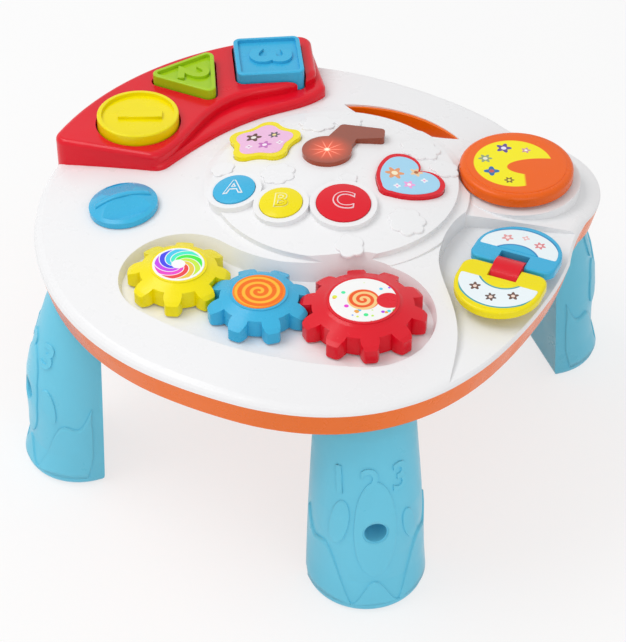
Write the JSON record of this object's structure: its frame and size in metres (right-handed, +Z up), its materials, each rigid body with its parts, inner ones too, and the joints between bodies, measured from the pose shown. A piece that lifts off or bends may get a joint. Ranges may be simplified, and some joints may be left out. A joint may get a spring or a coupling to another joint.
{
  "type": "musical activity table",
  "caption": "Low round-cornered toddler play table on four D-section legs, with meshing gears, push buttons, a knob, a drum pad, a rocking key and a shape sorter with lift-out blocks",
  "frame": {"origin": "on the floor, under the middle of the box round the table and its legs", "axes": "+Z up, +X towards the rocking key, -Y towards the side of the gears"},
  "size_m": [0.4247, 0.4328, 0.2331],
  "materials": {
    "white_plastic": "smooth moulded, glossy",
    "orange_plastic": "smooth moulded, glossy",
    "drum_orange": "smooth moulded, glossy",
    "red_plastic": "smooth moulded, glossy",
    "blue_plastic": "smooth moulded, glossy",
    "leg_blue": "smooth moulded, glossy",
    "yellow_plastic": "smooth moulded, glossy",
    "green_plastic": "smooth moulded, glossy",
    "amber_lens": "clear amber, polished",
    "clear_lamp": "clear",
    "cell_metal": "wrapped cell",
    "spring_steel": "plated",
    "pin_steel": "plated",
    "speaker_steel": "matt",
    "board_green": "lacquered board",
    "grey_rubber": "moulded",
    "dark_plastic": "moulded"
  },
  "bodies": {
    "table": {"battery_cells": "cell_metal", "battery_contacts": "spring_steel", "battery_door": "orange_plastic", "case_screws": "pin_steel", "circuit_board": "board_green", "door_screw": "pin_steel", "drum_switch": "dark_plastic", "gear_axles": "white_plastic", "key_mat": "grey_rubber", "knob_switch": "dark_plastic", "leg_back_left": "leg_blue", "leg_back_right": "leg_blue", "leg_front_left": "leg_blue", "leg_front_right": "leg_blue", "lower_shell": "orange_plastic", "note_lamp": "clear_lamp", "note_lens": "amber_lens", "seesaw_pin": "pin_steel", "seesaw_switches": "dark_plastic", "shape_panel": "red_plastic", "speaker": "speaker_steel", "top_shell": "white_plastic"},
    "yellow_gear": {"yellow_gear": "yellow_plastic"},
    "blue_gear": {"blue_gear": "blue_plastic"},
    "red_gear": {"red_gear": "red_plastic"},
    "mode_knob": {"mode_knob": "blue_plastic"},
    "button_a": {"button_a": "blue_plastic"},
    "button_b": {"button_b": "yellow_plastic"},
    "button_c": {"button_c": "red_plastic"},
    "star_button": {"star_button": "yellow_plastic"},
    "heart_button": {"heart_button": "red_plastic"},
    "drum_pad": {"drum_pad": "drum_orange"},
    "circle_block": {"circle_block": "yellow_plastic"},
    "triangle_block": {"triangle_block": "green_plastic"},
    "square_block": {"square_block": "blue_plastic"},
    "seesaw": {"seesaw_blue_half": "blue_plastic", "seesaw_yellow_half": "yellow_plastic", "seesaw_bridge": "red_plastic"}
  },
  "joints": [
    {"name": "yellow_gear_spin", "type": "hinge", "parent": "table", "child": "yellow_gear", "pos_m": [-0.03371, -0.1246, 0.199], "axis": [0, 0, 1], "continuous": true},
    {"name": "blue_gear_spin", "type": "hinge", "parent": "table", "child": "blue_gear", "pos_m": [0.035, -0.121, 0.199], "axis": [0, 0, 1], "continuous": true},
    {"name": "red_gear_spin", "type": "hinge", "parent": "table", "child": "red_gear", "pos_m": [0.10676, -0.09201, 0.199], "axis": [0, 0, 1], "continuous": true},
    {"name": "mode_knob_turn", "type": "hinge", "parent": "table", "child": "mode_knob", "pos_m": [-0.1175, -0.076, 0.20624], "axis": [-0.078, -0.0468, 0.9959], "range_deg": [-45, 45]},
    {"name": "button_a_press", "type": "slide", "parent": "table", "child": "button_a", "axis": [-0.1293, -0.1366, 0.9822], "range_m": [-0.0025, 0], "stiffness_N_per_m": 400, "springref_m": 0.001},
    {"name": "button_b_press", "type": "slide", "parent": "table", "child": "button_b", "axis": [-0.0314, -0.1372, 0.99], "range_m": [-0.0025, 0], "stiffness_N_per_m": 400, "springref_m": 0.001},
    {"name": "button_c_press", "type": "slide", "parent": "table", "child": "button_c", "axis": [0.0677, -0.0852, 0.9941], "range_m": [-0.0025, 0], "stiffness_N_per_m": 400, "springref_m": 0.001},
    {"name": "star_button_press", "type": "slide", "parent": "table", "child": "star_button", "axis": [-0.1664, 0.0209, 0.9858], "range_m": [-0.0025, 0], "stiffness_N_per_m": 400, "springref_m": 0.001},
    {"name": "heart_button_press", "type": "slide", "parent": "table", "child": "heart_button", "axis": [0.1223, 0.0456, 0.9914], "range_m": [-0.0025, 0], "stiffness_N_per_m": 400, "springref_m": 0.001},
    {"name": "drum_pad_press", "type": "slide", "parent": "table", "child": "drum_pad", "axis": [0, 0, 1], "range_m": [-0.003, 0], "stiffness_N_per_m": 1200, "springref_m": 0.001},
    {"name": "seesaw_rock", "type": "hinge", "parent": "table", "child": "seesaw", "pos_m": [0.1765, 0.005, 0.201], "axis": [0.9925, 0.1219, 0], "range_deg": [-5, 5], "stiffness_Nm_per_rad": 1},
    {"name": "circle_block_lift", "type": "slide", "parent": "table", "child": "circle_block", "axis": [0, 0, 1], "range_m": [0, 0.04]},
    {"name": "triangle_block_lift", "type": "slide", "parent": "table", "child": "triangle_block", "axis": [0, 0, 1], "range_m": [0, 0.04]},
    {"name": "square_block_lift", "type": "slide", "parent": "table", "child": "square_block", "axis": [0, 0, 1], "range_m": [0, 0.04]}
  ],
  "couplings": [
    {"joint": "blue_gear_spin", "follows": "red_gear_spin", "ratio": -1.25},
    {"joint": "yellow_gear_spin", "follows": "red_gear_spin", "ratio": 1.25}
  ]
}
